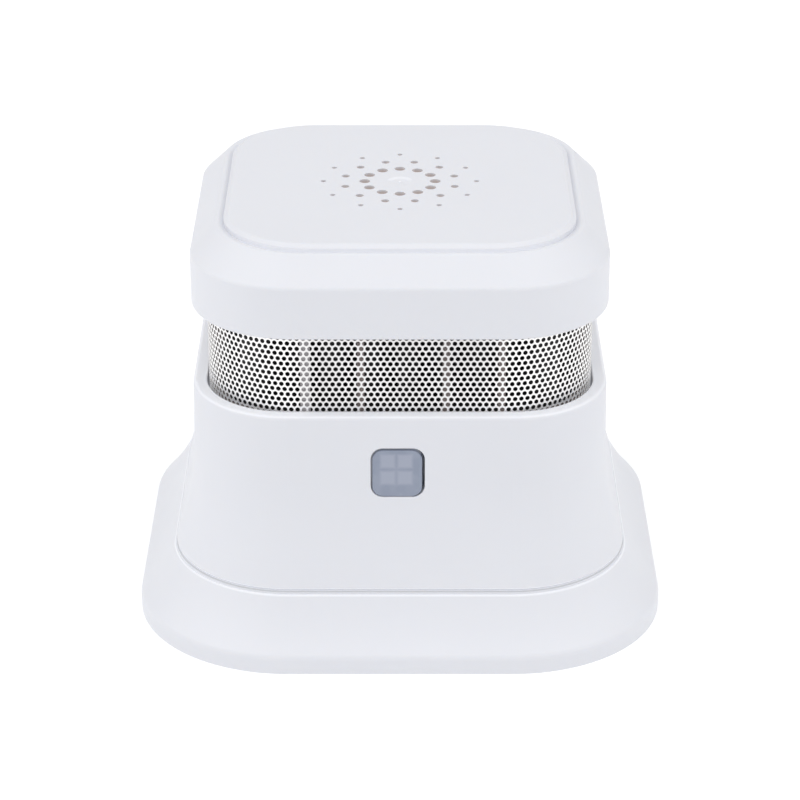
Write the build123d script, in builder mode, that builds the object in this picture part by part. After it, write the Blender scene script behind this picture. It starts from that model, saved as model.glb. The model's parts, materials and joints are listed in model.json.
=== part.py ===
from build123d import *

import math
import os

os.makedirs("parts", exist_ok=True)

# Compact ceiling smoke detector, in millimetres. The origin is the centre of the face that
# meets the ceiling, +Z runs up through the cap and the test button looks along -Y.
# Every outline is a rounded square, given by its half width and by how far the centres of
# its corner arcs lie from the axis.

# How far the features of one moulding run into each other, and the gap between two pieces
# that only just meet
root = 0.2
hair = 0.02

# Mounting base
base_half = 30.0
corner_centre = 12.4
lip_height = 2.0
lip_fillet = 1.0
skirt_wall = 1.6
seat_height = 8.17
seam_half = 25.73
seam_fillet = 0.2
collar_height = 0.42
collar_ledge = 0.15
ledge_fillet = 0.12
land_thickness = 1.5
land_underside = seat_height - land_thickness
well_radius = 23.0
well_wall = 1.2
floor_thickness = 1.8
stiffener_width = 1.2
stiffener_foot = 33.6
stiffener_head = 30.4
slot_spacing = 28.0
slot_width = 4.0
slot_length = 8.0

# Bayonet between base and head
bayonet_angles = (30, 150, 270)
bayonet_arc = 22.0
boss_radius = 21.2
boss_wall = 1.3
boss_bottom = 2.7
lug_reach = 1.5
lug_thickness = 1.2
hook_reach = 1.4
hook_bottom = 4.1
hook_thickness = 1.2
stop_arc = 3.0
stop_gap = 0.5

# Body shell
head_gap = 0.08
shell_bottom = seat_height + head_gap
shell_wall = 1.4
waist_half = 23.38
waist_height = 15.5
waist_radius = 31.0
rim_half = 23.19
rim_inner_half = 21.65
rim_height = 28.33
rim_fillet = 0.45
rim_inner_fillet = 0.15
deck_top = 26.4
deck_thickness = 1.2
deck_bottom = deck_top - deck_thickness
deck_opening_radius = 14.2

# Screws and the posts that take them
screw_radius = 1.0
pilot_radius = 1.02
clearance_radius = 1.15
screw_head_radius = 1.8
screw_head_height = 1.2
screw_head_play = 0.15
screw_crown = 0.6
cross_length = 1.9
cross_width = 0.5
cross_depth = 0.7
chassis_screw_length = 8.0
board_screw_length = 3.3
cap_screw_length = 16.0
chassis_post_offset = 12.5
chassis_post_radius = 2.3
cap_post_offset = 15.7
cap_post_radius = 1.9
board_post_positions = ((-7.6, -16.6), (7.6, 16.6))
board_post_radius = 1.9

# Chassis and battery
chassis_half = 23.6
chassis_thickness = 1.5
chassis_bottom = shell_bottom + 0.2
chassis_top = chassis_bottom + chassis_thickness
battery_diameter = 17.0
battery_length = 34.5
battery_axis_height = 14.0
battery_play = 0.7
battery_sleeve_thickness = 0.2
battery_terminal_radius = 3.2
battery_terminal_length = 0.9
cell_rim = 1.2
cell_crimp = 0.4
bay_half_length = 18.9
bay_half_width = 8.75
bay_wall = 1.2
bay_top = 22.5
contact_thickness = 0.3
contact_width = 7.0
contact_bend = 0.4
contact_foot_rise = 0.5
contact_foot_lean = 0.3
contact_tip_rise = 4.5
contact_tip_lean = 0.7

# Main board and what is soldered to it
board_half = 20.0
board_thickness = 1.2
board_bottom = 22.9
board_top = board_bottom + board_thickness
board_corner_notch = 3.6
board_post_play = 0.3
radio_board_middle = (-1.8, 14.8)
radio_board_size = (14.0, 8.8)
radio_board_thickness = 0.8
radio_shield_middle = (0.2, 14.8)
radio_shield_size = (9.6, 8.0)
radio_shield_height = 2.0
radio_shield_corner = 0.5
radio_shield_edge = 0.3
chip_edge = 0.15
can_edge = 0.4

# Test button and its switch
button_opening = (5.95, 5.9)
button_opening_middle = (-0.25, 21.58)
button_opening_corner = 1.35
button_opening_fillet = 0.12
button_size = (5.5, 5.6)
button_middle = (-0.31, 21.46)
button_corner = 1.2
button_recess = 0.1
flange_front = 21.6
flange_rear = 20.8
flange_size = (8.0, 7.1)
flange_middle = (-0.25, 21.45)
flange_corner = 0.8
button_edge = 0.12
button_pocket = (1.6, 1.7)
button_pocket_spacing = (1.9, 2.0)
button_pocket_middle = (-0.4, 21.96)
button_face = 1.0
button_travel = 0.4
switch_width = 4.7
switch_front = 20.2
switch_depth = 3.6
switch_height = 3.4
plunger_width = 2.4
plunger_thickness = 1.4
plunger_drop = 1.5
plunger_play = 0.1
plunger_pocket_depth = 1.4
plunger_edge = 0.15
led_offset = 3.8
led_width = 1.6
led_height = 1.0
led_depth = 1.2
led_edge = 0.2

# Smoke chamber, screen and its cage
screen_centre = 11.0
screen_half = 21.5
screen_thickness = 0.25
screen_top = 39.0
cage_half = 21.2
cage_depth = 0.9
cage_ring_height = 1.0
cage_post_width = 1.1
cage_post_position = -10.35
cage_rib_width = 0.8
cage_rib_depth = 0.45
cage_rib_positions = (-4.3, 5.05, 11.15)
chamber_half = 20.2
chamber_floor_thickness = 1.0
chamber_floor_top = deck_top + chamber_floor_thickness
column_top = 37.8
vane_count = 24
vane_thickness = 0.9
vane_top = 36.7
vane_outer_radius = 17.7
vane_middle_radius = 15.9
vane_inner_radius = 14.2
vane_lean = 7.0
vane_bend = 0.5
chamber_cover_radius = 18.4
chamber_cover_thickness = 1.0
chamber_cover_edge = 0.2
ridge_radii = (4.0, 7.0, 10.0)
ridge_half_width = 0.8
optic_height = 31.5
emitter_angle = 200
receiver_angle = 340
optic_radius = 1.5
optic_play = 0.05
optic_flange_radius = 1.95
optic_tip = 7.0
optic_flange_inner = 11.3
optic_flange_outer = 12.1
lead_offset = 1.27
lead_width = 0.5
lead_radius = 12.85
lead_slot = 1.2
lead_bend = 0.3
holder_inner = 6.4
holder_outer = 11.2
holder_half_width = 3.0
holder_foot = chamber_floor_top - optic_height
holder_head = 2.7
shield_thickness = 0.3
shield_inner = 6.7
shield_outer = 10.9

# Top cap
cap_half = 23.2
cap_centre = 11.5
cap_wall = 1.5
cap_bottom = 37.5
cap_shoulder = 43.4
cap_fillet = 0.25
shoulder_fillet = 0.5
crest_half = 20.3
crest_centre = 10.3
crest_height = 46.5
crest_fillet = 0.5
plateau_half = 19.5
plateau_centre = 9.8
plateau_foot = 46.1
cap_top = 47.0
bevel_width = 0.55
bevel_foot = 46.62
plateau_fillet = 0.25
cap_hollow_shoulder = 42.6
cap_ceiling = 45.5
cap_ceiling_half = 18.3
cap_pilot_depth = 4.5

# Sounder under the plateau
sound_hole_rings = ((4.0, 0.62, 0), (6.4, 0.46, 15), (8.7, 0.31, 0))
sound_holes_per_ring = 12
dimple_radius = 1.45
dimple_depth = 0.12
dimple_sphere = (dimple_radius**2 + dimple_depth**2) / (2 * dimple_depth)
gate_mark_radius = 0.15
gate_mark_height = 0.06
resonator_radius = 12.4
resonator_ceiling = 46.2
collar_radius = 13.5
collar_bottom = 45.3
piezo_radius = 13.5
piezo_thickness = 0.2
ceramic_radius = 10.5
piezo_play = 0.15
piezo_bottom = collar_bottom - piezo_thickness
ceramic_thickness = 0.2
ceramic_bottom = piezo_bottom - ceramic_thickness
housing_radius = 14.9
housing_edge = 0.4
housing_ledge_radius = 12.5
housing_bottom = 41.0
housing_floor_top = 42.0
wire_radius = 0.45
wire_play = 0.15
wire_offset = 9.5
wire_depth = 17.3
wire_turn_height = 39.4
wire_end_offset = 4.5
wire_end_depth = 6.5
wire_bend = 1.6


def rounded_square(half, centre, mode=Mode.ADD):
    """Adds a rounded square to the current sketch, or cuts it out."""
    RectangleRounded(2 * half, 2 * half, half - centre, mode=mode)


def rectangle_between(low, high, mode=Mode.ADD):
    """Adds an upright rectangle to the current sketch from its low and high corners."""
    corners = (low, (high[0], low[1]), high, (low[0], high[1]))
    Polygon(*corners, align=None, mode=mode)


def rounded_loop(half, centre):
    """Adds a closed rounded square to the current line, from the middle of its +X side."""
    side = Line((half, 0), (half, centre))
    for length in (2 * centre, 2 * centre, 2 * centre, centre):
        corner = JernArc(side @ 1, side % 1, half - centre, 90)
        side = Line(corner @ 1, corner @ 1 + (corner % 1) * length)


def radial_plane(angle):
    """The upright plane through the optical axis at this angle: x runs outward, y up."""
    turn = math.radians(angle)
    return Plane(
        origin=(0, 0, optic_height),
        x_dir=(math.cos(turn), math.sin(turn), 0),
        z_dir=(math.sin(turn), -math.cos(turn), 0),
    )


def save(part, name):
    """Labels a finished piece and writes it to its own file."""
    part.label = name
    export_step(part, f"parts/{name}.step")


# ---------------------------------------------------------------- mounting base
with BuildPart() as mounting_base:
    with BuildLine() as skirt_path:
        rounded_loop(seam_half, corner_centre)
    with BuildSketch(Plane.XZ) as skirt_section:
        with BuildLine():
            lip = Line((base_half, 0), (base_half, lip_height))
            ledge_edge = (seam_half + collar_ledge, seat_height - collar_height)
            slope = TangentArc(lip @ 1, ledge_edge, tangent=(-1, 1))
            Polyline(
                slope @ 1,
                (seam_half, seat_height - collar_height),
                (seam_half, seat_height),
                (well_radius + well_wall, seat_height),
                (well_radius + well_wall, land_underside),
                (base_half - skirt_wall, lip_height),
                (base_half - skirt_wall, 0),
                lip @ 0,
            )
        make_face()
        lip_corner = skirt_section.vertices().sort_by_distance((base_half, lip_height))[0]
        fillet(lip_corner, radius=lip_fillet)
        ledge_corner = skirt_section.vertices().sort_by_distance(ledge_edge)[0]
        fillet(ledge_corner, radius=ledge_fillet)
        seam_corner = skirt_section.vertices().sort_by_distance((seam_half, seat_height))[0]
        fillet(seam_corner, radius=seam_fillet)
    sweep(path=skirt_path.wires()[0])
    # Land that joins the skirt to the round well
    with BuildSketch(Plane.XY.offset(land_underside)):
        rounded_square(well_radius + well_wall + root, corner_centre)
        Circle(well_radius, mode=Mode.SUBTRACT)
    extrude(amount=land_thickness)
    with BuildSketch():
        Circle(well_radius + well_wall)
        Circle(well_radius, mode=Mode.SUBTRACT)
    extrude(amount=seat_height)
    with BuildSketch():
        Circle(well_radius + well_wall)
    extrude(amount=floor_thickness)
    # Stiffeners from the well to the corners of the skirt
    for turn in (45, 135, 225, 315):
        with BuildSketch(Plane.XZ.rotated((0, 0, turn))):
            Polygon(
                (well_radius + root, 0),
                (stiffener_foot, 0),
                (stiffener_foot, lip_height),
                (stiffener_head, land_underside + root),
                (well_radius + root, land_underside + root),
                align=None,
            )
        extrude(amount=stiffener_width / 2, both=True)
    # Hooks that hold the lugs of the head, each closed at one end by a stop
    hook_middle = well_radius - hook_reach / 2 + root
    with BuildSketch(Plane.XY.offset(hook_bottom)):
        with BuildLine():
            for angle in bayonet_angles:
                CenterArc((0, 0), hook_middle, angle - bayonet_arc / 2, bayonet_arc)
        trace(line_width=hook_reach + 2 * root)
    extrude(amount=hook_thickness)
    with BuildSketch(Plane.XY.offset(floor_thickness)):
        with BuildLine():
            for angle in bayonet_angles:
                stop_start = angle - bayonet_arc / 2 - stop_gap - stop_arc
                CenterArc((0, 0), hook_middle, stop_start, stop_arc)
        trace(line_width=hook_reach + 2 * root)
    extrude(amount=hook_bottom + hook_thickness - floor_thickness)
    # Screw slots
    with BuildSketch():
        with GridLocations(slot_spacing, 0, 2, 1):
            SlotOverall(slot_length, slot_width)
    extrude(amount=floor_thickness, mode=Mode.SUBTRACT)
save(mounting_base.part, "mounting_base")


# ---------------------------------------------------------------- body shell
with BuildPart() as body_shell:
    with BuildLine() as shell_path:
        rounded_loop(waist_half, corner_centre)
    with BuildSketch(Plane.XZ) as shell_section:
        with BuildLine():
            outside = FilletPolyline(
                (seam_half, shell_bottom),
                (waist_half, waist_height),
                (rim_half, rim_height),
                radius=waist_radius,
            )
            Polyline(
                outside @ 1,
                (rim_inner_half, rim_height),
                (rim_inner_half, deck_bottom),
                (waist_half - shell_wall, waist_height),
                (seam_half - shell_wall, shell_bottom),
                outside @ 0,
            )
        make_face()
        rim_corners = shell_section.vertices().group_by(Axis.Y)[-1].sort_by(Axis.X)
        fillet(rim_corners[0], radius=rim_inner_fillet)
        rim_corner = shell_section.vertices().sort_by_distance((rim_half, rim_height))[0]
        fillet(rim_corner, radius=rim_fillet)
        foot = shell_section.vertices().sort_by_distance((seam_half, shell_bottom))[0]
        fillet(foot, radius=seam_fillet)
    sweep(path=shell_path.wires()[0])
    with BuildSketch(Plane.XY.offset(deck_bottom)):
        rounded_square(rim_inner_half + root, corner_centre)
        Circle(deck_opening_radius, mode=Mode.SUBTRACT)
    extrude(amount=deck_thickness)
    # Posts for the chassis screws and the board screws
    with BuildSketch(Plane.XY.offset(chassis_top)):
        with GridLocations(2 * chassis_post_offset, 2 * chassis_post_offset, 2, 2):
            Circle(chassis_post_radius)
            Circle(pilot_radius, mode=Mode.SUBTRACT)
    extrude(amount=deck_bottom - chassis_top)
    with BuildSketch(Plane.XY.offset(board_top)):
        with Locations(*board_post_positions):
            Circle(board_post_radius)
    extrude(amount=deck_bottom - board_top)
    with BuildSketch(Plane.XY.offset(board_top)):
        with Locations(*board_post_positions):
            Circle(pilot_radius)
        with GridLocations(2 * cap_post_offset, 2 * cap_post_offset, 2, 2):
            Circle(clearance_radius)
        with Locations((-wire_offset, wire_depth), (wire_offset, wire_depth)):
            Circle(2 * wire_radius)
    extrude(amount=deck_top - board_top, mode=Mode.SUBTRACT)
    # Button opening in the front wall
    with BuildSketch(Plane.XZ.offset(flange_front)):
        with Locations(button_opening_middle):
            RectangleRounded(*button_opening, radius=button_opening_corner)
    extrude(amount=seam_half - flange_front, mode=Mode.SUBTRACT)
    front_edges = body_shell.edges().filter_by_position(
        Axis.Y, -seam_half, shell_wall / 2 - waist_half
    )
    middle_edges = front_edges.filter_by_position(Axis.X, -button_opening[0], button_opening[0])
    opening_edges = middle_edges.filter_by_position(Axis.Z, waist_height, deck_bottom)
    fillet(opening_edges, radius=button_opening_fillet)
save(body_shell.part, "body_shell")


# ---------------------------------------------------------------- chassis
with BuildPart() as chassis:
    with BuildSketch(Plane.XY.offset(chassis_bottom)):
        rounded_square(chassis_half, corner_centre)
    extrude(amount=chassis_thickness)
    with BuildSketch(Plane.XY.offset(chassis_top)):
        Rectangle(2 * (bay_half_length + bay_wall), 2 * (bay_half_width + bay_wall))
        Rectangle(2 * bay_half_length, 2 * bay_half_width, mode=Mode.SUBTRACT)
    extrude(amount=bay_top - chassis_top)
    with BuildSketch(Plane.XY.offset(boss_bottom)):
        Circle(boss_radius)
        Circle(boss_radius - boss_wall, mode=Mode.SUBTRACT)
    extrude(amount=chassis_bottom - boss_bottom)
    lug_middle = boss_radius + lug_reach / 2 - root
    with BuildSketch(Plane.XY.offset(boss_bottom)):
        with BuildLine():
            for angle in bayonet_angles:
                CenterArc((0, 0), lug_middle, angle - bayonet_arc / 2, bayonet_arc)
        trace(line_width=lug_reach + 2 * root)
    extrude(amount=lug_thickness)
    # The battery goes in through the plate from below
    with BuildSketch(Plane.XY.offset(chassis_bottom)):
        Rectangle(battery_length + battery_play, 2 * bay_half_width)
    extrude(amount=chassis_thickness, mode=Mode.SUBTRACT)
    with BuildSketch(Plane.XY.offset(chassis_bottom)):
        with GridLocations(2 * chassis_post_offset, 2 * chassis_post_offset, 2, 2):
            Circle(clearance_radius)
    extrude(amount=chassis_thickness, mode=Mode.SUBTRACT)
    with BuildSketch(Plane.XY.offset(chassis_bottom)):
        with GridLocations(2 * chassis_post_offset, 2 * chassis_post_offset, 2, 2):
            Circle(screw_head_radius + screw_head_play)
    extrude(amount=chassis_thickness / 2, mode=Mode.SUBTRACT)
save(chassis.part, "chassis")


# ---------------------------------------------------------------- screws
def screw_profile(seat, length):
    """Adds the half section of a pan head screw that points up from its seat."""
    crown_bottom = seat - screw_head_height
    Polygon(
        (0, crown_bottom),
        (screw_head_radius - screw_crown, crown_bottom),
        (screw_head_radius, crown_bottom + screw_crown),
        (screw_head_radius, seat),
        (screw_radius, seat),
        (screw_radius, seat + length - screw_radius),
        (0, seat + length),
        align=None,
    )


chassis_screw_seat = chassis_bottom + chassis_thickness / 2
chassis_post_positions = GridLocations(2 * chassis_post_offset, 2 * chassis_post_offset, 2, 2)
cap_post_positions = GridLocations(2 * cap_post_offset, 2 * cap_post_offset, 2, 2)
screw_sets = (
    ("chassis_screws", chassis_screw_seat, chassis_screw_length, chassis_post_positions),
    ("board_screws", board_bottom, board_screw_length, Locations(*board_post_positions)),
    ("cap_screws", deck_bottom, cap_screw_length, cap_post_positions),
)
for name, seat, length, positions in screw_sets:
    with BuildPart() as screw:
        with BuildSketch(Plane.XZ):
            screw_profile(seat, length)
        revolve(axis=Axis.Z)
        with BuildSketch(Plane.XY.offset(seat - screw_head_height)):
            Rectangle(cross_length, cross_width)
            Rectangle(cross_width, cross_length)
        extrude(amount=cross_depth, mode=Mode.SUBTRACT)
    with BuildPart() as screws:
        with positions:
            add(screw.part)
    save(screws.part, name)


# ---------------------------------------------------------------- battery and its contacts
battery_plane = Plane(origin=(0, 0, battery_axis_height), z_dir=(0, -1, 0), x_dir=(1, 0, 0))
battery_axis = Axis((0, 0, battery_axis_height), (1, 0, 0))
battery_end = battery_length / 2
cell_end = battery_end - battery_terminal_length
cell_radius = battery_diameter / 2 - battery_sleeve_thickness

with BuildPart() as battery_cell:
    with BuildSketch(battery_plane):
        Polygon(
            (-battery_end, 0),
            (-battery_end, cell_radius - cell_rim),
            (-battery_end + cell_crimp, cell_radius),
            (cell_end - cell_crimp, cell_radius),
            (cell_end, cell_radius - cell_rim),
            (cell_end, battery_terminal_radius),
            (battery_end, battery_terminal_radius),
            (battery_end, 0),
            align=None,
        )
    revolve(axis=battery_axis)
save(battery_cell.part, "battery_cell")

with BuildPart() as battery_sleeve:
    with BuildSketch(battery_plane):
        with Locations((0, cell_radius + battery_sleeve_thickness / 2)):
            Rectangle(2 * cell_end - cell_rim, battery_sleeve_thickness)
    revolve(axis=battery_axis)
save(battery_sleeve.part, "battery_sleeve")

contact_back = bay_half_length - contact_thickness / 2
contact_nose = battery_end + contact_thickness / 2 + hair
contact_foot = chassis_top + contact_foot_rise
contact_tip = battery_axis_height + contact_tip_rise
for side, name in ((1, "positive_contact"), (-1, "negative_contact")):
    with BuildPart() as contact:
        with BuildSketch(Plane.XZ):
            with BuildLine():
                FilletPolyline(
                    (side * contact_back, board_bottom),
                    (side * contact_back, contact_foot),
                    (side * (contact_nose + contact_foot_lean), contact_foot),
                    (side * contact_nose, battery_axis_height),
                    (side * (contact_nose + contact_tip_lean), contact_tip),
                    radius=contact_bend,
                )
            trace(line_width=contact_thickness)
        extrude(amount=contact_width / 2, both=True)
    save(contact.part, name)


# ---------------------------------------------------------------- main board
with BuildPart() as main_board:
    with BuildSketch(Plane.XY.offset(board_bottom)):
        rounded_square(board_half, corner_centre)
        with GridLocations(2 * cap_post_offset, 2 * cap_post_offset, 2, 2):
            Circle(board_corner_notch, mode=Mode.SUBTRACT)
        with GridLocations(2 * chassis_post_offset, 2 * chassis_post_offset, 2, 2):
            Circle(chassis_post_radius + board_post_play, mode=Mode.SUBTRACT)
        with Locations(*board_post_positions):
            Circle(clearance_radius, mode=Mode.SUBTRACT)
    extrude(amount=board_thickness)
save(main_board.part, "main_board")

with BuildPart() as radio_board:
    with BuildSketch(Plane.XY.offset(board_bottom - radio_board_thickness)):
        with Locations(radio_board_middle):
            Rectangle(*radio_board_size)
    extrude(amount=radio_board_thickness)
save(radio_board.part, "radio_board")

with BuildPart() as radio_shield:
    with BuildSketch(Plane.XY.offset(board_bottom - radio_board_thickness - radio_shield_height)):
        with Locations(radio_shield_middle):
            RectangleRounded(*radio_shield_size, radius=radio_shield_corner)
    extrude(amount=radio_shield_height)
    fillet(radio_shield.faces().sort_by(Axis.Z)[0].edges(), radius=radio_shield_edge)
save(radio_shield.part, "radio_shield")

# Two chips on top of the board
for name, middle, size, height in (
    ("microcontroller", (0, 0), (6.0, 6.0), 0.9),
    ("sensor_amplifier", (6.5, 3.5), (3.9, 4.9), 1.4),
):
    with BuildPart() as chip:
        with BuildSketch(Plane.XY.offset(board_top)):
            with Locations(middle):
                Rectangle(*size)
        extrude(amount=height)
        chamfer(chip.faces().sort_by(Axis.Z)[-1].edges(), length=chip_edge)
    save(chip.part, name)

# Two upright cans that hang below the board
for name, middle, radius, height in (
    ("sounder_coil", (6.5, -14.5), 3.7, 8.5),
    ("storage_capacitor", (-4.6, -12.9), 2.5, 7.0),
):
    with BuildPart() as can:
        with BuildSketch(Plane.XY.offset(board_bottom - height)):
            with Locations(middle):
                Circle(radius)
        extrude(amount=height)
        fillet(can.faces().sort_by(Axis.Z)[0].edges(), radius=can_edge)
    save(can.part, name)


# ---------------------------------------------------------------- test button and switch
button_plane = Plane.XZ.offset(flange_rear)
with BuildPart() as test_button:
    with BuildSketch(button_plane):
        with Locations(button_middle):
            RectangleRounded(*button_size, radius=button_corner)
    extrude(amount=seam_half - flange_rear)
    # The face follows the front wall, a little behind it
    with BuildSketch(Plane.YZ):
        Polygon(
            (-waist_half + button_recess, waist_height),
            (-rim_half + button_recess, rim_height),
            (-flange_rear, rim_height),
            (-flange_rear, waist_height),
            align=None,
        )
    extrude(amount=button_size[0], both=True, mode=Mode.INTERSECT)
    fillet(test_button.faces().sort_by(Axis.Y)[0].edges(), radius=button_edge)
    with BuildSketch(button_plane):
        with Locations(flange_middle):
            RectangleRounded(*flange_size, radius=flange_corner)
    extrude(amount=flange_front - flange_rear)
    # Four pockets behind the face leave a cross for the switch to meet
    with BuildSketch(button_plane):
        with Locations(button_pocket_middle):
            with GridLocations(*button_pocket_spacing, 2, 2):
                Rectangle(*button_pocket)
    extrude(amount=rim_half - button_face - flange_rear, mode=Mode.SUBTRACT)
save(test_button.part, "test_button")

plunger_middle = (0, board_bottom - plunger_drop)
with BuildPart() as tact_switch:
    with BuildSketch(Plane.XZ.offset(switch_front - switch_depth)):
        with Locations((0, board_bottom - switch_height / 2)):
            Rectangle(switch_width, switch_height)
    extrude(amount=switch_depth)
    with BuildSketch(Plane.XZ.offset(switch_front - plunger_pocket_depth)):
        with Locations(plunger_middle):
            Rectangle(plunger_width + 2 * plunger_play, plunger_thickness + 2 * plunger_play)
    extrude(amount=plunger_pocket_depth, mode=Mode.SUBTRACT)
save(tact_switch.part, "tact_switch")

plunger_rear = switch_front - plunger_pocket_depth + button_travel + plunger_play
with BuildPart() as switch_plunger:
    with BuildSketch(Plane.XZ.offset(plunger_rear)):
        with Locations(plunger_middle):
            Rectangle(plunger_width, plunger_thickness)
    extrude(amount=flange_rear - hair - plunger_rear)
    chamfer(switch_plunger.faces().sort_by(Axis.Y)[0].edges(), length=plunger_edge)
save(switch_plunger.part, "switch_plunger")

with BuildPart() as status_leds:
    with BuildSketch(Plane.XZ.offset(switch_front - led_depth)):
        with Locations(
            (-led_offset, board_bottom - led_height / 2),
            (led_offset, board_bottom - led_height / 2),
        ):
            Rectangle(led_width, led_height)
    extrude(amount=led_depth)
    chamfer(status_leds.faces().sort_by(Axis.Y)[:2].edges(), length=led_edge)
save(status_leds.part, "status_leds")


# ---------------------------------------------------------------- smoke chamber
with BuildSketch() as vane:
    with BuildLine():
        tilt = math.radians(vane_lean)
        FilletPolyline(
            (vane_outer_radius, 0),
            (vane_middle_radius * math.cos(tilt), vane_middle_radius * math.sin(tilt)),
            (vane_inner_radius, 0),
            radius=vane_bend,
        )
    trace(line_width=vane_thickness)

with BuildPart() as chamber_base:
    with BuildSketch(Plane.XY.offset(deck_top)):
        rounded_square(chamber_half, screen_centre)
    extrude(amount=chamber_floor_thickness)
    with BuildSketch(Plane.XY.offset(chamber_floor_top)):
        with PolarLocations(0, vane_count):
            add(vane.sketch)
    extrude(amount=vane_top - chamber_floor_top)
    with BuildSketch(Plane.XY.offset(chamber_floor_top)):
        with GridLocations(2 * cap_post_offset, 2 * cap_post_offset, 2, 2):
            Circle(cap_post_radius)
    extrude(amount=column_top - chamber_floor_top)
    # Open-fronted holders for the emitter and the receiver
    for angle in (emitter_angle, receiver_angle):
        upright = radial_plane(angle)
        with BuildSketch(upright):
            rectangle_between((holder_inner, holder_foot), (holder_outer, holder_head))
        extrude(amount=holder_half_width, both=True)
        with BuildSketch(upright):
            rectangle_between((holder_inner, 0), (holder_outer, optic_radius + optic_play))
        revolve(axis=Axis(upright.origin, upright.x_dir), mode=Mode.SUBTRACT)
        with BuildSketch(Plane.XY.offset(deck_top)):
            with PolarLocations(lead_radius, 1, start_angle=angle):
                Rectangle(lead_slot, 2 * lead_offset + lead_slot)
        extrude(amount=chamber_floor_thickness, mode=Mode.SUBTRACT)
    with BuildSketch(Plane.XY.offset(deck_top)):
        with GridLocations(2 * cap_post_offset, 2 * cap_post_offset, 2, 2):
            Circle(clearance_radius)
        with Locations((-wire_offset, wire_depth), (wire_offset, wire_depth)):
            Circle(2 * wire_radius)
    extrude(amount=column_top - deck_top, mode=Mode.SUBTRACT)
save(chamber_base.part, "chamber_base")

with BuildPart() as chamber_cover:
    with BuildSketch(Plane.XY.offset(vane_top)):
        Circle(chamber_cover_radius)
    extrude(amount=chamber_cover_thickness)
    # Ridges under the lid scatter stray light
    for ridge_radius in ridge_radii:
        with BuildSketch(Plane.XZ):
            Polygon(
                (ridge_radius - ridge_half_width, vane_top + root),
                (ridge_radius - ridge_half_width, vane_top),
                (ridge_radius, vane_top - ridge_half_width),
                (ridge_radius + ridge_half_width, vane_top),
                (ridge_radius + ridge_half_width, vane_top + root),
                align=None,
            )
        revolve(axis=Axis.Z)
    chamfer(chamber_cover.faces().sort_by(Axis.Z)[-1].edges(), length=chamber_cover_edge)
save(chamber_cover.part, "chamber_cover")

for angle, name in ((emitter_angle, "infrared_emitter"), (receiver_angle, "light_receiver")):
    with BuildPart() as optic:
        with BuildSketch(radial_plane(angle)):
            with BuildLine():
                barrel = Polyline(
                    (optic_tip + optic_radius, optic_radius),
                    (optic_flange_inner, optic_radius),
                    (optic_flange_inner, optic_flange_radius),
                    (optic_flange_outer, optic_flange_radius),
                    (optic_flange_outer, 0),
                    (optic_tip, 0),
                )
                RadiusArc(barrel @ 1, barrel @ 0, optic_radius)
            make_face()
        revolve(axis=Axis(radial_plane(angle).origin, radial_plane(angle).x_dir))
        for side in (-1, 1):
            with BuildSketch(radial_plane(angle).offset(side * lead_offset)):
                with BuildLine():
                    FilletPolyline(
                        (optic_flange_outer - root, 0),
                        (lead_radius, 0),
                        (lead_radius, board_top - optic_height),
                        radius=lead_bend,
                    )
                trace(line_width=lead_width)
            extrude(amount=lead_width / 2, both=True)
    save(optic.part, name)

# A folded tin cover stands over the receiver's holder
shield_half_width = holder_half_width + hair + shield_thickness
shield_head = holder_head + hair + shield_thickness
with BuildPart() as receiver_shield:
    with BuildSketch(radial_plane(receiver_angle)):
        rectangle_between((shield_inner, holder_foot), (shield_outer, shield_head))
    extrude(amount=shield_half_width, both=True)
    with BuildSketch(radial_plane(receiver_angle)):
        rectangle_between((shield_inner, holder_foot), (shield_outer, holder_head + hair))
    extrude(amount=holder_half_width + hair, both=True, mode=Mode.SUBTRACT)
save(receiver_shield.part, "receiver_shield")


# ---------------------------------------------------------------- insect screen and its cage
with BuildPart() as screen_cage:
    for ring_bottom in (deck_top, column_top):
        with BuildSketch(Plane.XY.offset(ring_bottom)):
            rounded_square(cage_half, screen_centre)
            rounded_square(cage_half - cage_depth, screen_centre, mode=Mode.SUBTRACT)
        extrude(amount=cage_ring_height)
    with BuildSketch(Plane.XY.offset(deck_top)):
        with PolarLocations(0, 4):
            with Locations((cage_half - cage_depth / 2, cage_post_position)):
                Rectangle(cage_depth, cage_post_width)
            for rib_position in cage_rib_positions:
                with Locations((cage_half - cage_depth + cage_rib_depth / 2, rib_position)):
                    Rectangle(cage_rib_depth, cage_rib_width)
    extrude(amount=column_top + cage_ring_height - deck_top)
save(screen_cage.part, "screen_cage")

# A closed band: the fine round holes that cover it are left out
with BuildPart() as insect_screen:
    with BuildSketch(Plane.XY.offset(deck_top)):
        rounded_square(screen_half, screen_centre)
        rounded_square(screen_half - screen_thickness, screen_centre, mode=Mode.SUBTRACT)
    extrude(amount=screen_top - deck_top)
save(insect_screen.part, "insect_screen")


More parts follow.
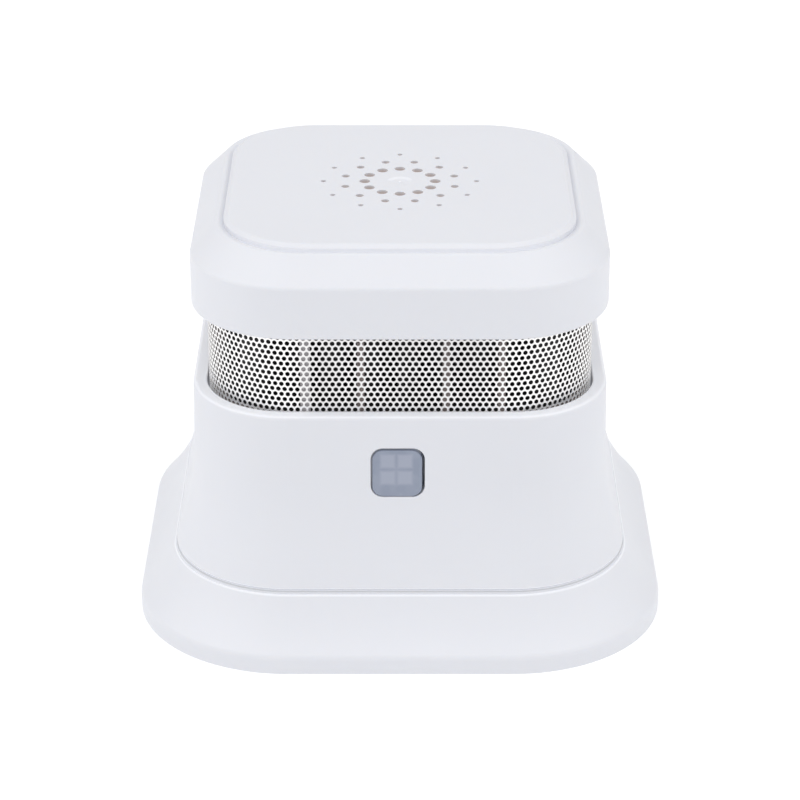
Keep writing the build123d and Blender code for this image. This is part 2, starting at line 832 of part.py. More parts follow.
# ---------------------------------------------------------------- top cap
with BuildPart() as top_cap:
    with BuildSketch(Plane.XY.offset(cap_bottom)):
        rounded_square(cap_half, cap_centre)
    extrude(amount=cap_shoulder - cap_bottom)
    # Shoulder that climbs to a crest round the plateau
    with BuildSketch(Plane.XY.offset(cap_shoulder)):
        rounded_square(cap_half, cap_centre)
    with BuildSketch(Plane.XY.offset(crest_height)):
        rounded_square(crest_half, crest_centre)
    loft()
    fillet(top_cap.faces().sort_by(Axis.Z)[0].edges(), radius=cap_fillet)
    below, above = cap_shoulder - hair, cap_shoulder + hair
    fillet(top_cap.edges().filter_by_position(Axis.Z, below, above), radius=shoulder_fillet)
    # Inside the crest the surface dips to the foot of the plateau
    with BuildSketch(Plane.XY.offset(plateau_foot)):
        rounded_square(plateau_half, plateau_centre)
    with BuildSketch(Plane.XY.offset(crest_height)):
        rounded_square(crest_half, crest_centre)
    loft(mode=Mode.SUBTRACT)
    crest_edges = top_cap.edges().filter_by_position(Axis.Z, crest_height - hair, crest_height + hair)
    fillet(crest_edges, radius=crest_fillet)
    # Raised plateau with a bevelled edge
    with BuildSketch(Plane.XY.offset(plateau_foot - root)):
        rounded_square(plateau_half, plateau_centre)
    extrude(amount=bevel_foot - plateau_foot + root)
    with BuildSketch(Plane.XY.offset(bevel_foot)):
        rounded_square(plateau_half, plateau_centre)
    with BuildSketch(Plane.XY.offset(cap_top)):
        rounded_square(plateau_half - bevel_width, plateau_centre)
    loft()
    fillet(top_cap.faces().sort_by(Axis.Z)[-1].edges(), radius=plateau_fillet)
    # Hollow underside
    with BuildSketch(Plane.XY.offset(cap_bottom)):
        rounded_square(cap_half - cap_wall, cap_centre)
    extrude(amount=cap_hollow_shoulder - cap_bottom, mode=Mode.SUBTRACT)
    with BuildSketch(Plane.XY.offset(cap_hollow_shoulder)):
        rounded_square(cap_half - cap_wall, cap_centre)
    with BuildSketch(Plane.XY.offset(cap_ceiling)):
        rounded_square(cap_ceiling_half, plateau_centre)
    loft(mode=Mode.SUBTRACT)
    # Bosses for the cap screws
    with BuildSketch(Plane.XY.offset(column_top)):
        with GridLocations(2 * cap_post_offset, 2 * cap_post_offset, 2, 2):
            Circle(cap_post_radius)
    extrude(amount=cap_ceiling - column_top)
    with BuildSketch(Plane.XY.offset(column_top)):
        with GridLocations(2 * cap_post_offset, 2 * cap_post_offset, 2, 2):
            Circle(pilot_radius)
    extrude(amount=cap_pilot_depth, mode=Mode.SUBTRACT)
    # Resonator chamber over the sounder, with the collar that holds the disc down
    with BuildSketch(Plane.XY.offset(collar_bottom)):
        Circle(collar_radius)
    extrude(amount=cap_ceiling - collar_bottom)
    with BuildSketch(Plane.XY.offset(collar_bottom)):
        Circle(resonator_radius)
    extrude(amount=resonator_ceiling - collar_bottom, mode=Mode.SUBTRACT)
    with BuildSketch(Plane.XY.offset(resonator_ceiling)):
        for ring_radius, hole_radius, start in sound_hole_rings:
            with PolarLocations(ring_radius, sound_holes_per_ring, start_angle=start):
                Circle(hole_radius)
    extrude(amount=cap_top - resonator_ceiling, mode=Mode.SUBTRACT)
    # Shallow round dimple with the mark of the mould gate in its middle
    with Locations((0, 0, cap_top - dimple_depth + dimple_sphere)):
        Sphere(dimple_sphere, mode=Mode.SUBTRACT)
    with BuildSketch(Plane.XY.offset(cap_top - 2 * dimple_depth)):
        Circle(gate_mark_radius)
    extrude(amount=dimple_depth + gate_mark_height)
save(top_cap.part, "top_cap")


# ---------------------------------------------------------------- sounder
with BuildPart() as sounder_housing:
    with BuildSketch(Plane.XZ):
        Polygon(
            (0, housing_bottom),
            (housing_radius, housing_bottom),
            (housing_radius, cap_ceiling),
            (piezo_radius + piezo_play, cap_ceiling),
            (piezo_radius + piezo_play, piezo_bottom),
            (housing_ledge_radius, piezo_bottom),
            (housing_ledge_radius, housing_floor_top),
            (0, housing_floor_top),
            align=None,
        )
    revolve(axis=Axis.Z)
    with BuildSketch(Plane.XY.offset(housing_bottom)):
        with Locations((-wire_end_offset, wire_end_depth), (wire_end_offset, wire_end_depth)):
            Circle(wire_radius + wire_play)
    extrude(amount=housing_floor_top - housing_bottom, mode=Mode.SUBTRACT)
    fillet(sounder_housing.faces().sort_by(Axis.Z)[0].outer_wire().edges(), radius=housing_edge)
save(sounder_housing.part, "sounder_housing")

with BuildPart() as piezo_plate:
    with BuildSketch(Plane.XY.offset(piezo_bottom)):
        Circle(piezo_radius)
    extrude(amount=piezo_thickness)
save(piezo_plate.part, "piezo_plate")

with BuildPart() as piezo_ceramic:
    with BuildSketch(Plane.XY.offset(ceramic_bottom)):
        Circle(ceramic_radius)
    extrude(amount=ceramic_thickness)
save(piezo_ceramic.part, "piezo_ceramic")

# Each lead runs up beside the chamber, then inward to the underside of the disc
for side, name in ((-1, "sounder_lead_left"), (1, "sounder_lead_right")):
    with BuildPart() as sounder_lead:
        with BuildLine():
            FilletPolyline(
                (side * wire_offset, wire_depth, board_top),
                (side * wire_offset, wire_depth, wire_turn_height),
                (side * wire_end_offset, wire_end_depth, wire_turn_height),
                (side * wire_end_offset, wire_end_depth, ceramic_bottom),
                radius=wire_bend,
            )
        with BuildSketch(Plane.XY.offset(board_top)):
            with Locations((side * wire_offset, wire_depth)):
                Circle(wire_radius)
        sweep()
    save(sounder_lead.part, name)
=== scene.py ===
import json
import math

import bpy
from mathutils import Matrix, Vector


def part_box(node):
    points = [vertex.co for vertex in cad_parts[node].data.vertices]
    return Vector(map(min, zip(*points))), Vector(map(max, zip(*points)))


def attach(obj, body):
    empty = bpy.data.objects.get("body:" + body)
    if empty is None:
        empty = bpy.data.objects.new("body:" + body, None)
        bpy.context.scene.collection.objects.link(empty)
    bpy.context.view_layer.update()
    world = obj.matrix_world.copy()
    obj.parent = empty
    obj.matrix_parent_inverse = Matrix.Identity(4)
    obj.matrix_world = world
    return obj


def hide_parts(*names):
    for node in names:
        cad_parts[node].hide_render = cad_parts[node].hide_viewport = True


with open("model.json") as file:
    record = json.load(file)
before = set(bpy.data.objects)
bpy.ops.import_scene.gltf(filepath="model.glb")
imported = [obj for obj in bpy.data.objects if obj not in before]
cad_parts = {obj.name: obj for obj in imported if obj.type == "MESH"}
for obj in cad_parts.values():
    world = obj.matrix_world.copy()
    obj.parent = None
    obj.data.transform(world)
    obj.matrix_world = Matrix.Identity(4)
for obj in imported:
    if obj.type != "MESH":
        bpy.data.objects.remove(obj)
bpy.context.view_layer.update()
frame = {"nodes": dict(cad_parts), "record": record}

NODES = frame["nodes"]
MM = 0.001

# The view: a long lens a third of a metre away, looking down on the front.
VIEW_ELEVATION = math.radians(25.12)
VIEW_DISTANCE = 332.14 * MM
VIEW_TARGET = Vector((0, 0, 19.54 * MM))
LENS = 127.0
SENSOR = 36.0

# Studio: an even white surround, a softbox high in front, and two on each side. Each softbox is
# its bearing from the front and its height, in degrees, its size in metres and its power in watts.
SURROUND = 0.665
SOFTBOX_DISTANCE = 1.3
SOFTBOXES = {
    "key_top": (0, 75, 1.2, 3.6),
    "left_high": (-60, 50, 1.0, 3.0),
    "right_high": (60, 50, 1.0, 2.6),
    "left_low": (-90, 30, 1.0, 2.1),
    "right_low": (90, 30, 1.0, 1.8),
}
FLOOR_HALF = 3.0
FLOOR_GLOW = 0.45

# Details of the housing that its material follows, in millimetres
CAP_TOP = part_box("top_cap")[1].z / MM
RIM_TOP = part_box("body_shell")[1].z / MM
SEAM_HEIGHT = 8.17
EDGE_FROM = 8.2
LEDGE_HEIGHT = 7.68
GROOVE_HEIGHT = 46.35
PLATEAU_CENTRE = 9.8
PLATEAU_RADIUS = 9.7
SOUND_HOLES_FROM = 3.2
SOUND_HOLES_TO = 9.2
DIMPLE_RADIUS = 1.5
GATE_MARK_RADIUS = 0.2

# Painted light: how strongly places of the housing glow, as painted light in its sound holes,
# dimple, gate mark, groove and rim, and as painted highlights at the seam
HOUSING_PAINTED_LIGHT = {
    "sound_holes": 0.25,
    "dimple": 0.065,
    "gate_mark": 0.2,
    "groove": 0.13,
    "rim": 0.14,
    "edge": 0.25,
    "seat": 0.08,
    "ledge": 0.11,
}

# Test button: pockets behind its face, painted paler as painted light, in millimetres across and
# up, and its sides, which glow as painted light
POCKET_MIDDLE = (-0.4, 21.96)
POCKET_SPACING = (1.9, 2.0)
POCKET_REACH = 1.0
BUTTON_SIDE_END = 2.2
BUTTON_SIDE_PAINTED_LIGHT = 0.12

# The screen's cage is one grey in lit and shaded copies: posts flush with the screen painted pale
# as painted light, and ribs set back from it painted darker as painted shade
POST_LIT_COLOUR = (0.52, 0.50, 0.52)
RIB_SHADED_COLOUR = (0.30, 0.25, 0.24)

# Perforated screen, in millimetres: its plan is that of the band it replaces.
SCREEN_CORNER_CENTRE = 11.0
SCREEN_THICKNESS = 0.08
HOLE_PITCH = 0.70
HOLE_RADIUS = 0.27
HOLE_SIDES = 8
SCREEN_MARGIN = 0.7
SCREEN_BEND_FROM = 8.5
SCREEN_BEND_TO = 13.0
SCREEN_PAINTED_LIGHT = 0.13


# ---------------------------------------------------------------- node helpers
def new_material(name):
    """A node material, its shader, and object coordinates in millimetres."""
    material = bpy.data.materials.new(name)
    material.use_nodes = True
    coordinates = add_node(material, "ShaderNodeTexCoord")
    scale = add_node(material, "ShaderNodeMapping")
    scale.inputs["Scale"].default_value = (1 / MM,) * 3
    link(material, coordinates.outputs["Object"], scale.inputs["Vector"])
    return material, shader_of(material), scale.outputs["Vector"]


def add_node(material, kind, **properties):
    node = material.node_tree.nodes.new(kind)
    for key, value in properties.items():
        setattr(node, key, value)
    return node


def link(material, source, target):
    material.node_tree.links.new(source, target)


def shader_of(material):
    return material.node_tree.nodes["Principled BSDF"]


def feed(material, value, target):
    """Links a socket to a target, or sets the target to a plain number or colour."""
    if hasattr(value, "is_linked"):
        link(material, value, target)
    else:
        target.default_value = value


def maths(material, operation, *values):
    node = add_node(material, "ShaderNodeMath", operation=operation)
    for value, target in zip(values, node.inputs):
        feed(material, value, target)
    return node.outputs["Value"]


def product(material, first, *others):
    for other in others:
        first = maths(material, "MULTIPLY", first, other)
    return first


def off_by(material, value, middle):
    """How far a value lies from the middle, on either side."""
    return maths(material, "ABSOLUTE", maths(material, "SUBTRACT", value, middle))


def size_of(material, value):
    return maths(material, "ABSOLUTE", value)


def length(material, across, along):
    """The length of the line with these two components."""
    squares = [maths(material, "POWER", value, 2) for value in (across, along)]
    return maths(material, "SQRT", maths(material, "ADD", *squares))


def past(material, value, limit):
    """How far a value lies past plus or minus the limit, and 0 between the two."""
    beyond = maths(material, "SUBTRACT", size_of(material, value), limit)
    return maths(material, "MAXIMUM", beyond, 0.0)


def split_place(material, place):
    """The x, y and z of a place."""
    node = add_node(material, "ShaderNodeSeparateXYZ")
    link(material, place, node.inputs["Vector"])
    return node.outputs["X"], node.outputs["Y"], node.outputs["Z"]


def stretched(material, place, stretch):
    node = add_node(material, "ShaderNodeMapping")
    node.inputs["Scale"].default_value = stretch
    link(material, place, node.inputs["Vector"])
    return node.outputs["Vector"]


def noise(material, place, size, detail=2.0, rough=0.5):
    """A noise pattern whose blobs are about size millimetres across."""
    node = add_node(material, "ShaderNodeTexNoise")
    node.inputs["Scale"].default_value = 1 / size
    node.inputs["Detail"].default_value = detail
    node.inputs["Roughness"].default_value = rough
    link(material, place, node.inputs["Vector"])
    return node.outputs["Fac"]


def step(material, value, low, high):
    """0 where value is below low, 1 where it is above high, and smooth between them."""
    node = add_node(material, "ShaderNodeMapRange", interpolation_type="SMOOTHSTEP")
    node.inputs["From Min"].default_value = low
    node.inputs["From Max"].default_value = high
    link(material, value, node.inputs["Value"])
    return node.outputs["Result"]


def around(material, value, middle, reach, full):
    """1 within full of the middle, falling to 0 at reach from it."""
    return step(material, off_by(material, value, middle), reach, full)


def spread(material, value, low, high):
    """A 0 to 1 value spread from low to high."""
    node = add_node(material, "ShaderNodeMapRange")
    node.inputs["To Min"].default_value = low
    node.inputs["To Max"].default_value = high
    link(material, value, node.inputs["Value"])
    return node.outputs["Result"]


def blend_colours(material, share, first, second):
    """first where share is 0 and second where it is 1."""
    node = add_node(material, "ShaderNodeMix", data_type="RGBA")
    link(material, share, node.inputs["Factor"])
    for colour, target in ((first, node.inputs[6]), (second, node.inputs[7])):
        feed(material, (*colour, 1) if isinstance(colour, tuple) else colour, target)
    return node.outputs[2]


def bump(material, shader, height, depth):
    """Bumps depth millimetres deep where height runs from 0 to 1."""
    node = add_node(material, "ShaderNodeBump")
    node.inputs["Distance"].default_value = depth * MM
    link(material, height, node.inputs["Height"])
    link(material, node.outputs["Normal"], shader.inputs["Normal"])


def glow(material, shader, strength):
    """A white glow of this strength, in place of light soaked through or thrown back."""
    shader.inputs["Emission Color"].default_value = (0.97, 0.98, 1.0, 1)
    feed(material, strength, shader.inputs["Emission Strength"])


def toward(colour, other, share):
    return tuple(a + (b - a) * share for a, b in zip(colour, other))


def drifting(material, place, colour, drift, size):
    """A colour that drifts slightly lighter and darker over patches of this size."""
    patches = step(material, noise(material, place, size, detail=3.0), 0.3, 0.7)
    return blend_colours(
        material, patches, toward(colour, (0, 0, 0), drift), toward(colour, (1, 1, 1), drift)
    )


# ---------------------------------------------------------------- plastics
def plastic_finish(material, shader, place, roughness, grain, depth):
    """The spark-eroded grain of a mould, and patches of more and less polish."""
    polish = noise(material, place, 3.0, detail=4.0)
    gloss = spread(material, polish, roughness - 0.06, roughness + 0.06)
    link(material, gloss, shader.inputs["Roughness"])
    bump(material, shader, noise(material, place, grain, detail=3.0, rough=0.6), depth)


def moulded_plastic(name, colour, roughness, grain=0.15, depth=0.003, drift=0.02):
    material, shader, place = new_material(name)
    link(material, drifting(material, place, colour, drift, 14.0), shader.inputs["Base Color"])
    plastic_finish(material, shader, place, roughness, grain, depth)
    return material


def painted_light_and_shade_masks(material, place):
    """The places of the housing with painted light, painted shade and a painted reflection: each
    mask is 1 in its place and 0 elsewhere.
    """
    x, y, z = split_place(material, place)
    radius = length(material, x, y)
    near_top = step(material, z, CAP_TOP - 1.0, CAP_TOP - 0.5)

    in_ring = product(
        material,
        step(material, radius, SOUND_HOLES_FROM, SOUND_HOLES_FROM + 0.1),
        step(material, radius, SOUND_HOLES_TO, SOUND_HOLES_TO - 0.1),
    )
    below_face = product(
        material,
        step(material, z, CAP_TOP - 0.9, CAP_TOP - 0.8),
        step(material, z, CAP_TOP - 0.03, CAP_TOP - 0.4),
    )
    # Not physical: the dimple glows at its far side only, chosen for a view from the front
    dish = product(
        material,
        step(material, radius, DIMPLE_RADIUS, DIMPLE_RADIUS - 0.1),
        step(material, radius, 0.8, 1.05),
        step(material, y, 0.0, 0.6),
    )
    # The wall of the plateau stands at this distance from the middles of its corners
    wall = length(material, past(material, x, PLATEAU_CENTRE), past(material, y, PLATEAU_CENTRE))
    # Not physical: it glows most at the front, chosen for a view from the front
    facing = spread(material, step(material, y, -12.0, -19.0), 0.25, 1.0)
    return {
        "sound_holes": product(material, in_ring, below_face),
        "dimple": product(material, dish, near_top),
        "gate_mark": product(
            material, step(material, radius, GATE_MARK_RADIUS, GATE_MARK_RADIUS / 2), near_top
        ),
        "groove": product(
            material,
            around(material, wall, PLATEAU_RADIUS, 0.2, 0.1),
            facing,
            around(material, z, GROOVE_HEIGHT, 0.3, 0.2),
        ),
        "rim": around(material, z, RIM_TOP, 0.27, 0.05),
        "edge": product(
            material,
            step(material, z, EDGE_FROM - 0.01, EDGE_FROM + 0.01),
            step(material, z, EDGE_FROM + 0.3, EDGE_FROM + 0.1),
        ),
        "seat": around(material, z, SEAM_HEIGHT, 0.02, 0.01),
        "ledge": around(material, z, LEDGE_HEIGHT, 0.2, 0.0),
        "shade": around(material, z, SEAM_HEIGHT - 0.1, 0.1, 0.05),
    }


def shell_plastic(name):
    """White housing plastic. Its sound holes, dimple, gate mark, groove, rim and seam glow faintly
    as painted light and painted highlights.
    The sound holes carry a painted brown reflection of the brass disc, and the edge just under the
    seam carries painted shade."""
    material, shader, place = new_material(name)
    masks = painted_light_and_shade_masks(material, place)
    white = drifting(material, place, (0.705, 0.715, 0.757), 0.006, 14.0)
    # Painted shade: a darker band just under the seam
    seam_painted_shade = blend_colours(material, masks["shade"], white, (0.50, 0.51, 0.54))
    # Painted reflection: the sound holes are coloured brown for the brass disc seen in them
    painted_shade_and_reflection = blend_colours(material, masks["sound_holes"], seam_painted_shade, (0.30, 0.19, 0.15))
    link(material, painted_shade_and_reflection, shader.inputs["Base Color"])
    # Painted light and painted highlights: each place glows by its mask
    strength = 0.0
    for part, light in HOUSING_PAINTED_LIGHT.items():
        strength = maths(material, "MULTIPLY_ADD", masks[part], light, strength)
    glow(material, shader, strength)
    plastic_finish(material, shader, place, 0.42, 0.15, 0.002)
    shader.inputs["Subsurface Weight"].default_value = 0.15
    shader.inputs["Subsurface Radius"].default_value = (0.6 * MM, 0.5 * MM, 0.4 * MM)
    shader.inputs["Subsurface Scale"].default_value = 1.0
    return material


def cage_plastic(name):
    """Grey plastic, painted paler on the posts that touch the screen, as painted light, and darker
    on the ribs set back from it, as painted shade.
    """
    material, shader, place = new_material(name)
    x, y, _ = split_place(material, place)
    reach = maths(material, "MAXIMUM", size_of(material, x), size_of(material, y))
    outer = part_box("screen_cage")[1].x / MM
    posts = step(material, reach, outer - 0.3, outer - 0.1)
    ribs = drifting(material, place, RIB_SHADED_COLOUR, 0.05, 2.0)
    colour = blend_colours(material, posts, ribs, POST_LIT_COLOUR)
    link(material, colour, shader.inputs["Base Color"])
    plastic_finish(material, shader, place, 0.5, 0.15, 0.003)
    return material


def button_plastic(name):
    """Milky light guide: the four pockets behind its face show as paler squares of painted light,
    and its sides glow as painted light in the gap round it."""
    material, shader, place = new_material(name)
    x, y, z = split_place(material, place)
    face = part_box("test_button")[0].y / MM
    beside = off_by(material, off_by(material, x, POCKET_MIDDLE[0]), POCKET_SPACING[0] / 2)
    above = off_by(material, off_by(material, z, POCKET_MIDDLE[1]), POCKET_SPACING[1] / 2)
    outside = maths(material, "MAXIMUM", beside, above)
    pockets = step(material, outside, POCKET_REACH + 0.05, POCKET_REACH - 0.45)
    body = drifting(material, place, (0.262, 0.297, 0.382), 0.03, 2.0)
    # Painted light: the pockets paler than the rest of the face
    colour = blend_colours(material, pockets, body, (0.338, 0.366, 0.452))
    link(material, colour, shader.inputs["Base Color"])
    # Not physical: every side glows but the right one, chosen for a view from the front
    sides = product(
        material,
        step(material, y, face + 0.3, face + 0.5),
        step(material, x, BUTTON_SIDE_END + 0.2, BUTTON_SIDE_END),
    )
    glow(material, shader, maths(material, "MULTIPLY", sides, BUTTON_SIDE_PAINTED_LIGHT))
    plastic_finish(material, shader, place, 0.25, 0.2, 0.001)
    shader.inputs["Subsurface Weight"].default_value = 0.3
    shader.inputs["Subsurface Radius"].default_value = (0.8 * MM, 0.8 * MM, 0.9 * MM)
    shader.inputs["Subsurface Scale"].default_value = 1.0
    return material


def clear_plastic(name, colour, roughness=0.12):
    """Cast epoxy: clear, slightly tinted, with faint flow lines."""
    material, shader, place = new_material(name)
    link(material, drifting(material, place, colour, 0.05, 1.0), shader.inputs["Base Color"])
    plastic_finish(material, shader, place, roughness, 0.4, 0.001)
    shader.inputs["Transmission Weight"].default_value = 0.85
    shader.inputs["IOR"].default_value = 1.5
    return material


def striped_sleeve(name, colour, stripe, node, axis, share):
    """Shrink sleeve with a band of another colour at one end of this axis of the node."""
    material, shader, place = new_material(name)
    low, high = (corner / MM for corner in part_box(node))
    edge = high[axis] - (high[axis] - low[axis]) * share
    band = step(material, split_place(material, place)[axis], edge - 0.05, edge + 0.05)
    base = drifting(material, place, colour, 0.04, 6.0)
    link(material, blend_colours(material, band, base, stripe), shader.inputs["Base Color"])
    plastic_finish(material, shader, place, 0.28, 1.5, 0.01)
    shader.inputs["Coat Weight"].default_value = 0.4
    return material


# ---------------------------------------------------------------- metals, board and ceramic
def sheet_metal(name, colour, roughness, stretch=(1, 1, 1), line=0.15, depth=0.002, stain=0.12):
    """Rolled or brushed metal: fine lines drawn out along one direction, with faint stains."""
    material, shader, place = new_material(name)
    shader.inputs["Metallic"].default_value = 1.0
    lines = noise(material, stretched(material, place, stretch), line, detail=4.0, rough=0.7)
    stains = step(material, noise(material, place, 5.0, detail=3.0), 0.35, 0.65)
    dull = toward(colour, (0.25, 0.22, 0.2), stain)
    link(material, blend_colours(material, stains, dull, colour), shader.inputs["Base Color"])
    gloss = spread(material, lines, roughness - 0.08, roughness + 0.1)
    link(material, gloss, shader.inputs["Roughness"])
    bump(material, shader, lines, depth)
    return material


def screen_metal(name):
    """Perforated steel, with a painted highlight round its bent corners and painted light on its
    lower edge, where it would be in shade.
    """
    flats, bend_highlight = (0.82, 0.81, 0.81), (0.97, 0.96, 0.95)
    material = sheet_metal(name, flats, 0.36, stretch=(1, 1, 12))
    shader = shader_of(material)
    place = material.node_tree.nodes["Mapping"].outputs["Vector"]
    x, y, z = split_place(material, place)
    inner = maths(material, "MINIMUM", size_of(material, x), size_of(material, y))
    # Painted highlight: paler round the bent corners
    bend = step(material, inner, SCREEN_BEND_FROM, SCREEN_BEND_TO)
    flat = shader.inputs["Base Color"].links[0].from_socket
    link(material, blend_colours(material, bend, flat, bend_highlight), shader.inputs["Base Color"])
    # Painted light on the lower edge, where it would be in shade
    low = step(material, z, RIM_TOP + 1.6, RIM_TOP - 0.4)
    glow(material, shader, maths(material, "MULTIPLY", low, SCREEN_PAINTED_LIGHT))
    return material


def circuit_board(name):
    """Green solder mask over copper tracks, on woven glass."""
    material, shader, place = new_material(name)
    cells = add_node(
        material, "ShaderNodeTexVoronoi", feature="DISTANCE_TO_EDGE", distance="MANHATTAN"
    )
    cells.inputs["Scale"].default_value = 1 / 1.8
    link(material, place, cells.inputs["Vector"])
    tracks = step(material, cells.outputs["Distance"], 0.09, 0.06)
    mask = drifting(material, place, (0.015, 0.11, 0.05), 0.03, 8.0)
    colour = blend_colours(material, tracks, mask, (0.03, 0.20, 0.08))
    link(material, colour, shader.inputs["Base Color"])
    weave = noise(material, stretched(material, place, (1, 1, 0.2)), 0.25, detail=2.0)
    link(material, spread(material, weave, 0.22, 0.34), shader.inputs["Roughness"])
    relief = maths(material, "ADD", tracks, maths(material, "MULTIPLY", weave, 0.15))
    bump(material, shader, relief, 0.03)
    return material


MATERIALS = {
    "white_shell": shell_plastic("white_shell"),
    "button_translucent": button_plastic("button_translucent"),
    "chamber_black": moulded_plastic("chamber_black", (0.012, 0.012, 0.013), 0.6),
    "cage_grey": cage_plastic("cage_grey"),
    "chip_black": moulded_plastic("chip_black", (0.02, 0.02, 0.022), 0.5, grain=0.08),
    "coil_black": moulded_plastic("coil_black", (0.03, 0.03, 0.032), 0.7, grain=0.25, depth=0.01),
    "switch_black": moulded_plastic("switch_black", (0.02, 0.02, 0.02), 0.45),
    "lead_red": moulded_plastic("lead_red", (0.45, 0.015, 0.012), 0.35),
    "lead_black": moulded_plastic("lead_black", (0.015, 0.015, 0.016), 0.35),
    "capacitor_sleeve": striped_sleeve(
        "capacitor_sleeve", (0.02, 0.025, 0.10), (0.55, 0.57, 0.6), "storage_capacitor", 0, 0.12
    ),
    "cell_wrap": striped_sleeve(
        "cell_wrap", (0.03, 0.06, 0.22), (0.62, 0.40, 0.14), "battery_sleeve", 0, 0.16
    ),
    "board_green": circuit_board("board_green"),
    "led_clear": clear_plastic("led_clear", (0.95, 0.93, 0.78)),
    "optic_clear": clear_plastic("optic_clear", (0.70, 0.78, 0.95)),
    "optic_dark": clear_plastic("optic_dark", (0.05, 0.03, 0.06)),
    "screen_steel": screen_metal("screen_steel"),
    "screw_steel": sheet_metal("screw_steel", (0.58, 0.59, 0.61), 0.3, line=0.1),
    "cell_steel": sheet_metal("cell_steel", (0.66, 0.66, 0.66), 0.28, stretch=(8, 1, 1)),
    "contact_nickel": sheet_metal("contact_nickel", (0.70, 0.68, 0.62), 0.3, stretch=(1, 1, 0.1)),
    "tinned_shield": sheet_metal("tinned_shield", (0.72, 0.72, 0.73), 0.35, line=1.2, depth=0.004),
    "piezo_brass": sheet_metal("piezo_brass", (0.72, 0.45, 0.16), 0.3, stretch=(1, 6, 1)),
    "piezo_ceramic": moulded_plastic("piezo_ceramic", (0.66, 0.64, 0.56), 0.55, grain=0.06),
}


# ---------------------------------------------------------------- light, floor and camera
def look_at(obj, target):
    obj.rotation_mode = "QUATERNION"
    obj.rotation_quaternion = (target - obj.location).to_track_quat("-Z", "Y")


def add_object(name, data):
    obj = bpy.data.objects.new(name, data)
    bpy.context.scene.collection.objects.link(obj)
    return obj


def softbox(name, bearing, height, size, power):
    light = bpy.data.lights.new(name, "AREA")
    light.shape = "SQUARE"
    light.size = size
    light.energy = power
    obj = add_object(name, light)
    bearing, height = math.radians(bearing), math.radians(height)
    reach = math.cos(height)
    obj.location = SOFTBOX_DISTANCE * Vector(
        (reach * math.sin(bearing), -reach * math.cos(bearing), math.sin(height))
    )
    look_at(obj, VIEW_TARGET)


def make_floor():
    mesh = bpy.data.meshes.new("floor")
    corners = [(x * FLOOR_HALF, y * FLOOR_HALF, 0) for x, y in ((-1, -1), (1, -1), (1, 1), (-1, 1))]
    mesh.from_pydata(corners, [], [(0, 1, 2, 3)])
    paper = moulded_plastic("floor_paper", (0.6, 0.6, 0.6), 0.9, drift=0.004)
    glow(paper, shader_of(paper), FLOOR_GLOW)
    mesh.materials.append(paper)
    add_object("floor", mesh)


def make_world():
    world = bpy.data.worlds.new("studio")
    bpy.context.scene.world = world
    world.use_nodes = True
    background = world.node_tree.nodes["Background"]
    background.inputs["Color"].default_value = (1, 1, 1, 1)
    background.inputs["Strength"].default_value = SURROUND


def make_camera():
    data = bpy.data.cameras.new("camera")
    data.lens = LENS
    data.sensor_width = SENSOR
    data.clip_start = 10 * MM
    camera = add_object("camera", data)
    back = Vector((0, -math.cos(VIEW_ELEVATION), math.sin(VIEW_ELEVATION)))
    camera.location = VIEW_TARGET + back * VIEW_DISTANCE
    look_at(camera, VIEW_TARGET)
    bpy.context.scene.camera = camera


# ---------------------------------------------------------------- the perforated screen
class RoundedBand:
    """A rounded square seen from above, unrolled: a run round it and a depth in give a point."""

    def __init__(self, half, centre):
        self.half = half
        self.centre = centre
        self.radius = half - centre
        self.quarter = 2 * centre + math.pi / 2 * self.radius

    def point(self, run, depth, height):
        turn, along = divmod(run % (4 * self.quarter), self.quarter)
        radius = self.radius - depth
        bend = (along - self.centre) / self.radius
        if bend < 0:
            x, y = self.half - depth, along
        elif bend < math.pi / 2:
            x = self.centre + radius * math.cos(bend)
            y = self.centre + radius * math.sin(bend)
        else:
            x, y = self.quarter - along, self.half - depth
        for _ in range(int(turn)):
            x, y = -y, x
        return (x * MM, y * MM, height * MM)


def ring_triangles(outer, inner):
    """Triangles between two counter-clockwise loops of (angle, vertex), both from near angle 0."""
    triangles = []
    i = j = 0
    while i < len(outer) or j < len(inner):
        next_outer = outer[i % len(outer)][0] + 2 * math.pi * (i // len(outer))
        next_inner = inner[j % len(inner)][0] + 2 * math.pi * (j // len(inner))
        here_outer = outer[(i - 1) % len(outer)][1]
        here_inner = inner[(j - 1) % len(inner)][1]
        if j >= len(inner) or (i < len(outer) and next_outer <= next_inner):
            triangles.append((here_outer, outer[i % len(outer)][1], here_inner))
            i += 1
        else:
            triangles.append((here_outer, inner[j % len(inner)][1], here_inner))
            j += 1
    return triangles


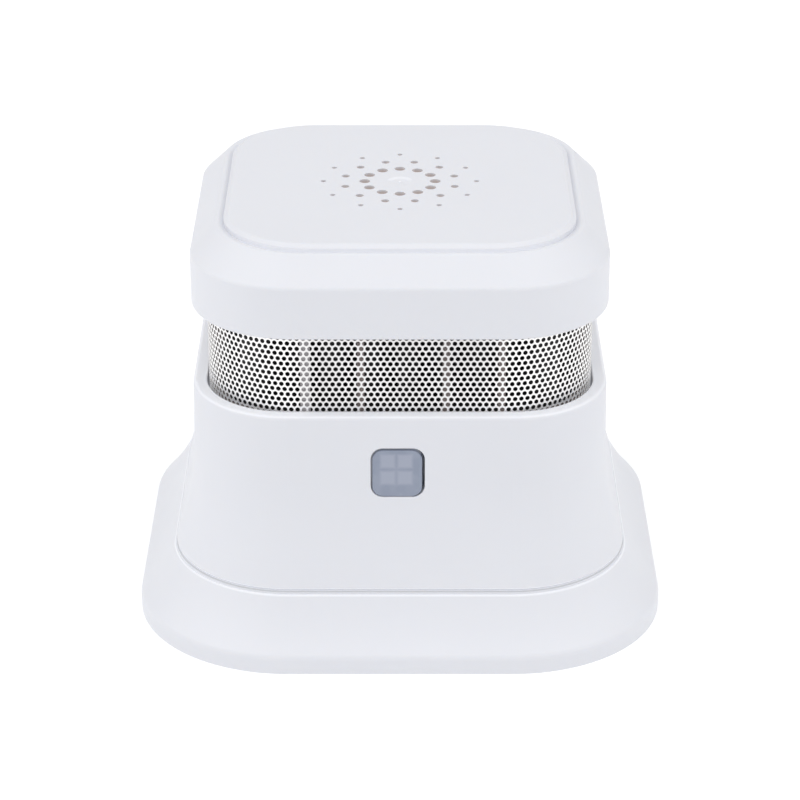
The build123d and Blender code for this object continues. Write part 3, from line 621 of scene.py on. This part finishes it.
def make_screen():
    """Sheet with staggered round holes: each hole sits in a hexagonal cell of the sheet."""
    low, high = (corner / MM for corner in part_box("insect_screen"))
    band = RoundedBand(high.x, SCREEN_CORNER_CENTRE)
    columns = round(4 * band.quarter / HOLE_PITCH)
    half_pitch = 2 * band.quarter / columns
    unit = half_pitch / math.sqrt(3)
    rows = int((high.z - low.z - 2 * SCREEN_MARGIN) / (3 * unit)) + 1
    middle = (low.z + high.z) / 2
    first = middle - 1.5 * unit * (rows - 1)

    vertices = []
    shared = {}

    def add_vertex(run, depth, height):
        vertices.append(band.point(run, depth, height))
        return len(vertices) - 1

    def corner(across, up, depth):
        """A corner that neighbouring cells share, by its place on the grid of cells."""
        key = (across % (2 * columns), up, depth)
        if key not in shared:
            shared[key] = add_vertex(key[0] * half_pitch, depth, first + up * unit)
        return shared[key]

    def edge(across, height, depth):
        key = (across % (2 * columns), height, depth)
        if key not in shared:
            shared[key] = add_vertex(key[0] * half_pitch, depth, height)
        return shared[key]

    cell_corners = ((1, 1), (0, 2), (-1, 1), (-1, -1), (0, -2), (1, -1))
    cell_angles = [math.radians(30 + 60 * k) for k in range(6)]
    hole_angles = [2 * math.pi * k / HOLE_SIDES for k in range(HOLE_SIDES)]
    faces = []
    for row in range(rows):
        for column in range(columns):
            across = 2 * column + row % 2
            loops = []
            for depth in (0, SCREEN_THICKNESS):
                outer = [
                    (angle, corner(across + dx, 3 * row + dz, depth))
                    for angle, (dx, dz) in zip(cell_angles, cell_corners)
                ]
                inner = [
                    (
                        angle,
                        add_vertex(
                            across * half_pitch + HOLE_RADIUS * math.cos(angle),
                            depth,
                            first + 3 * row * unit + HOLE_RADIUS * math.sin(angle),
                        ),
                    )
                    for angle in hole_angles
                ]
                triangles = ring_triangles(outer, inner)
                faces.extend(triangles if depth == 0 else [t[::-1] for t in triangles])
                loops.append([vertex for _, vertex in inner])
            front, back = loops
            for k in range(HOLE_SIDES):
                following = (k + 1) % HOLE_SIDES
                faces.append((front[k], front[following], back[following], back[k]))

    # Plain margins between the zigzag of the outer cells and the straight edges
    for end, row, height in ((-1, 0, low.z), (1, rows - 1, high.z)):
        for across in range(2 * columns):
            strip = []
            for depth in (0, SCREEN_THICKNESS):
                for here in (across, across + 1):
                    tip = (here - row) % 2 == 0
                    strip.append(corner(here, 3 * row + end * (2 if tip else 1), depth))
                    strip.append(edge(here, height, depth))
            a, a_edge, b, b_edge, c, c_edge, d, d_edge = strip
            quads = [
                (a, b, b_edge, a_edge),
                (d, c, c_edge, d_edge),
                (a_edge, b_edge, d_edge, c_edge),
            ]
            faces.extend(quad if end > 0 else quad[::-1] for quad in quads)

    mesh = bpy.data.meshes.new("perforated_screen")
    mesh.from_pydata(vertices, [], faces)
    mesh.polygons.foreach_set("use_smooth", [True] * len(mesh.polygons))
    mesh.set_sharp_from_angle(angle=math.radians(50))
    mesh.materials.append(MATERIALS["screen_steel"])
    screen = add_object("perforated_screen", mesh)
    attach(screen, "head")
    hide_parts("insect_screen")


# ---------------------------------------------------------------- the scene
make_world()
make_floor()
make_camera()
for softbox_name, setting in SOFTBOXES.items():
    softbox(softbox_name, *setting)
bpy.context.scene.view_settings.view_transform = "Standard"

for subpart in frame["record"]["subparts"]:
    node = NODES[subpart["node"]]
    node.data.materials.clear()
    node.data.materials.append(MATERIALS[subpart["material_slot"]])
make_screen()
